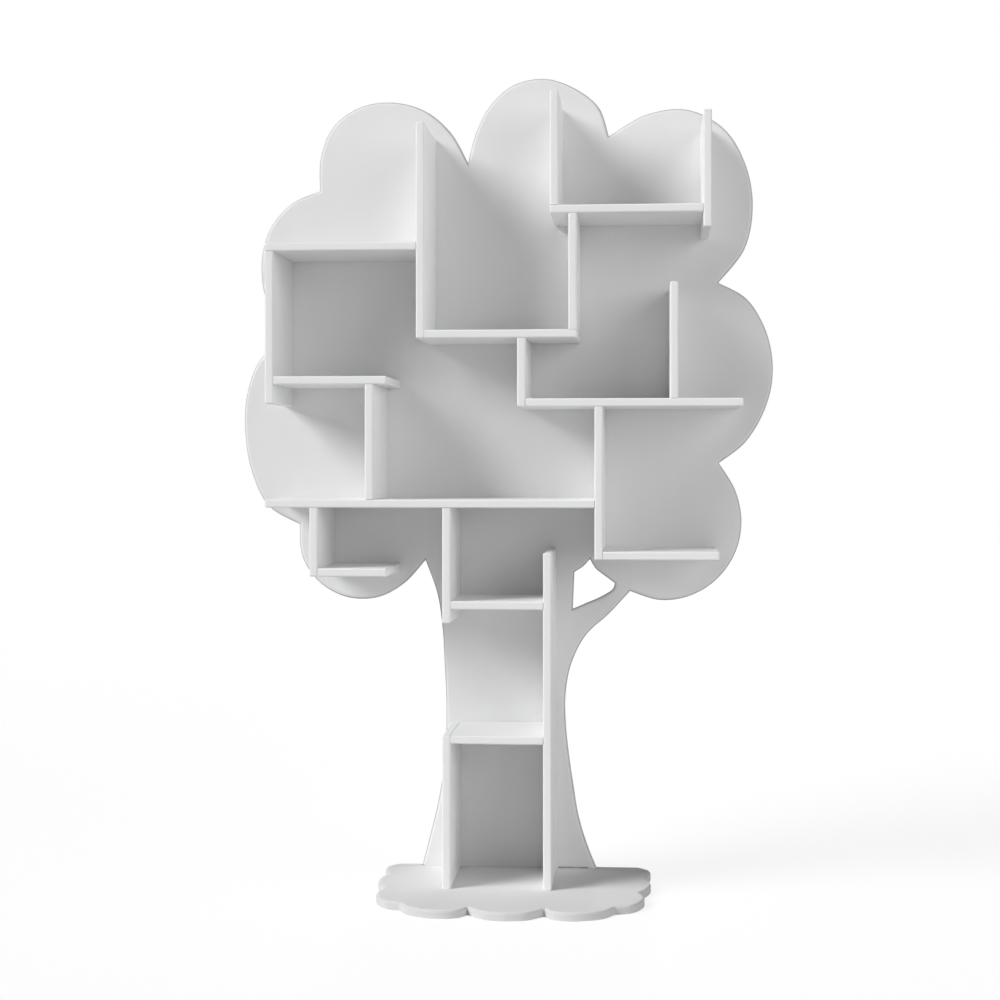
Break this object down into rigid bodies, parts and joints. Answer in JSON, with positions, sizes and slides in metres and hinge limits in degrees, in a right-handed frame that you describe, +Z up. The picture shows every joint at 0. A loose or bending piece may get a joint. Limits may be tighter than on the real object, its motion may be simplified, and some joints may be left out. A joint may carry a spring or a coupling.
{
  "type": "tree shaped bookcase",
  "caption": "Free standing white bookcase in the shape of a tree, with open stepped shelves on a cut back panel and a scalloped base.",
  "frame": {"origin": "on the floor, on the underside of the base plate, below the trunk's centre line, in the plane of the back panel's front face", "axes": "+X to the right as seen from the front, +Y from the shelves back to the panel and the wall, +Z up"},
  "size_m": [1.072, 0.395, 1.6101],
  "materials": {
    "white_lacquer": "white satin lacquer on medium density fibreboard, with a faint brushed texture",
    "zinc_steel": "bright zinc plating"
  },
  "bodies": {
    "root": {"back_panel": "white_lacquer", "base_plate": "white_lacquer", "top_left_shelf": "white_lacquer", "top_right_shelf": "white_lacquer", "centre_upper_shelf": "white_lacquer", "left_middle_shelf": "white_lacquer", "right_middle_shelf": "white_lacquer", "long_middle_shelf": "white_lacquer", "lower_right_shelf": "white_lacquer", "lower_left_shelf": "white_lacquer", "trunk_upper_shelf": "white_lacquer", "trunk_lower_shelf": "white_lacquer", "outer_left_upright": "white_lacquer", "tall_upright": "white_lacquer", "crown_upright": "white_lacquer", "centre_upright": "white_lacquer", "top_right_upright": "white_lacquer", "middle_upright": "white_lacquer", "right_upright": "white_lacquer", "inner_left_upright": "white_lacquer", "lower_right_upright": "white_lacquer", "lower_left_upright": "white_lacquer", "trunk_top_upright": "white_lacquer", "trunk_right_upright": "white_lacquer", "trunk_left_upright": "white_lacquer", "top_left_shelf_screw": "zinc_steel", "top_right_shelf_screw": "zinc_steel", "centre_upper_shelf_screw": "zinc_steel", "left_middle_shelf_screw": "zinc_steel", "right_middle_shelf_screw": "zinc_steel", "long_middle_shelf_screw_1": "zinc_steel", "long_middle_shelf_screw_2": "zinc_steel", "lower_right_shelf_screw": "zinc_steel", "lower_left_shelf_screw": "zinc_steel", "trunk_upper_shelf_screw": "zinc_steel", "trunk_lower_shelf_screw": "zinc_steel", "outer_left_upright_screw": "zinc_steel", "tall_upright_screw": "zinc_steel", "crown_upright_screw": "zinc_steel", "centre_upright_screw": "zinc_steel", "top_right_upright_screw": "zinc_steel", "middle_upright_screw": "zinc_steel", "right_upright_screw": "zinc_steel", "inner_left_upright_screw": "zinc_steel", "lower_right_upright_screw": "zinc_steel", "lower_left_upright_screw": "zinc_steel", "trunk_top_upright_screw": "zinc_steel", "trunk_right_upright_screw": "zinc_steel", "trunk_left_upright_screw": "zinc_steel", "trunk_right_upright_base_screw": "zinc_steel", "trunk_left_upright_base_screw": "zinc_steel", "panel_foot_screw_left": "zinc_steel", "panel_foot_screw_right": "zinc_steel", "wall_plate_left": "zinc_steel", "wall_plate_right": "zinc_steel", "wall_plate_left_screw_lower": "zinc_steel", "wall_plate_left_screw_upper": "zinc_steel", "wall_plate_right_screw_lower": "zinc_steel", "wall_plate_right_screw_upper": "zinc_steel"}
  },
  "joints": []
}
